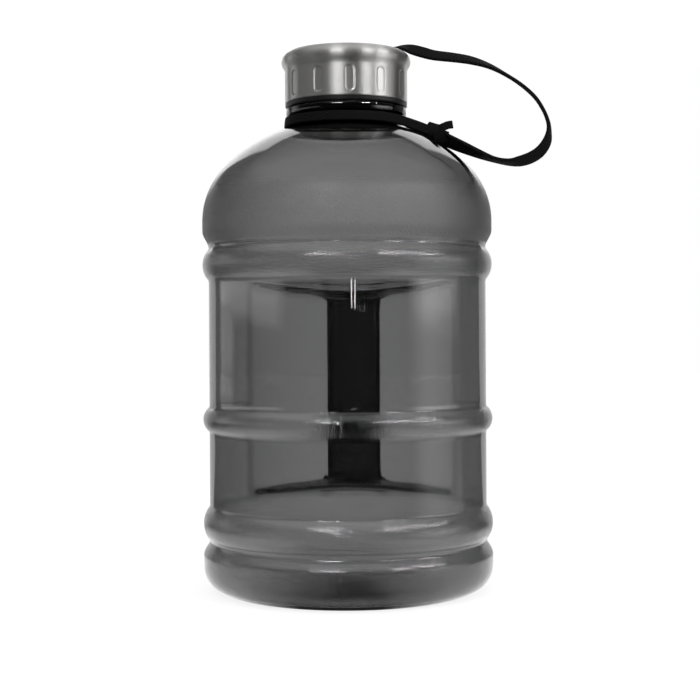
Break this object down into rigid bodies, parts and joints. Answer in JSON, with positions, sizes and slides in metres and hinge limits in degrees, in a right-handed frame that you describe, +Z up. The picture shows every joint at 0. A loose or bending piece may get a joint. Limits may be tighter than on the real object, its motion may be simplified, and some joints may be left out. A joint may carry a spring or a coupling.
{
  "type": "large water jug",
  "caption": "Ribbed, domed water jug of smoke-grey clear plastic with a moulded-in rear grip, a steel screw cap and a flat black carry strap knotted round the neck.",
  "frame": {"origin": "centre of the standing ring, on the surface that the jug stands on", "axes": "+Z up along the jug's axis; the front faces -Y; the moulded grip is on +Y; the carry strap hangs towards +X"},
  "size_m": [0.1524, 0.126, 0.2379],
  "materials": {
    "smoke_plastic": "clear smoke-grey moulded plastic, glossy, fine grain on the ribs",
    "brushed_steel": "brushed stainless sheet",
    "black_plastic": "black moulded plastic, satin",
    "silicone": "soft translucent silicone",
    "rivet_steel": "plated steel",
    "webbing": "flat woven webbing, matt"
  },
  "bodies": {
    "bottle": {"bottle_body": "smoke_plastic"},
    "swivel": {"strap_rivet": "rivet_steel", "strap_washer": "rivet_steel", "rivet_backing": "rivet_steel"},
    "cap": {"cap_shell": "brushed_steel", "cap_liner": "black_plastic", "cap_gasket": "silicone"},
    "neck_loop": {"neck_loop": "webbing", "carry_strap": "webbing"},
    "strap_end": {"strap_tab": "webbing"}
  },
  "joints": [
    {"name": "cap_rise", "type": "slide", "parent": "bottle", "child": "swivel", "axis": [0, 0, 1], "range_m": [0, 0.0251]},
    {"name": "cap_turn", "type": "hinge", "parent": "swivel", "child": "cap", "pos_m": [0, 0, 0.233], "axis": [0, 0, 1], "range_deg": [0, 1800]},
    {"name": "strap_swing", "type": "hinge", "parent": "bottle", "child": "neck_loop", "pos_m": [0, 0, 0.2034], "axis": [0, 0, 1], "continuous": true},
    {"name": "strap_rise", "type": "slide", "parent": "neck_loop", "child": "strap_end", "axis": [0, 0, 1], "range_m": [0, 0.0251], "deforming": ["carry_strap"]}
  ],
  "couplings": [
    {"joint": "cap_rise", "follows": "cap_turn", "m_per_rad": 0.00079577},
    {"joint": "strap_rise", "follows": "cap_turn", "m_per_rad": 0.00079577}
  ]
}
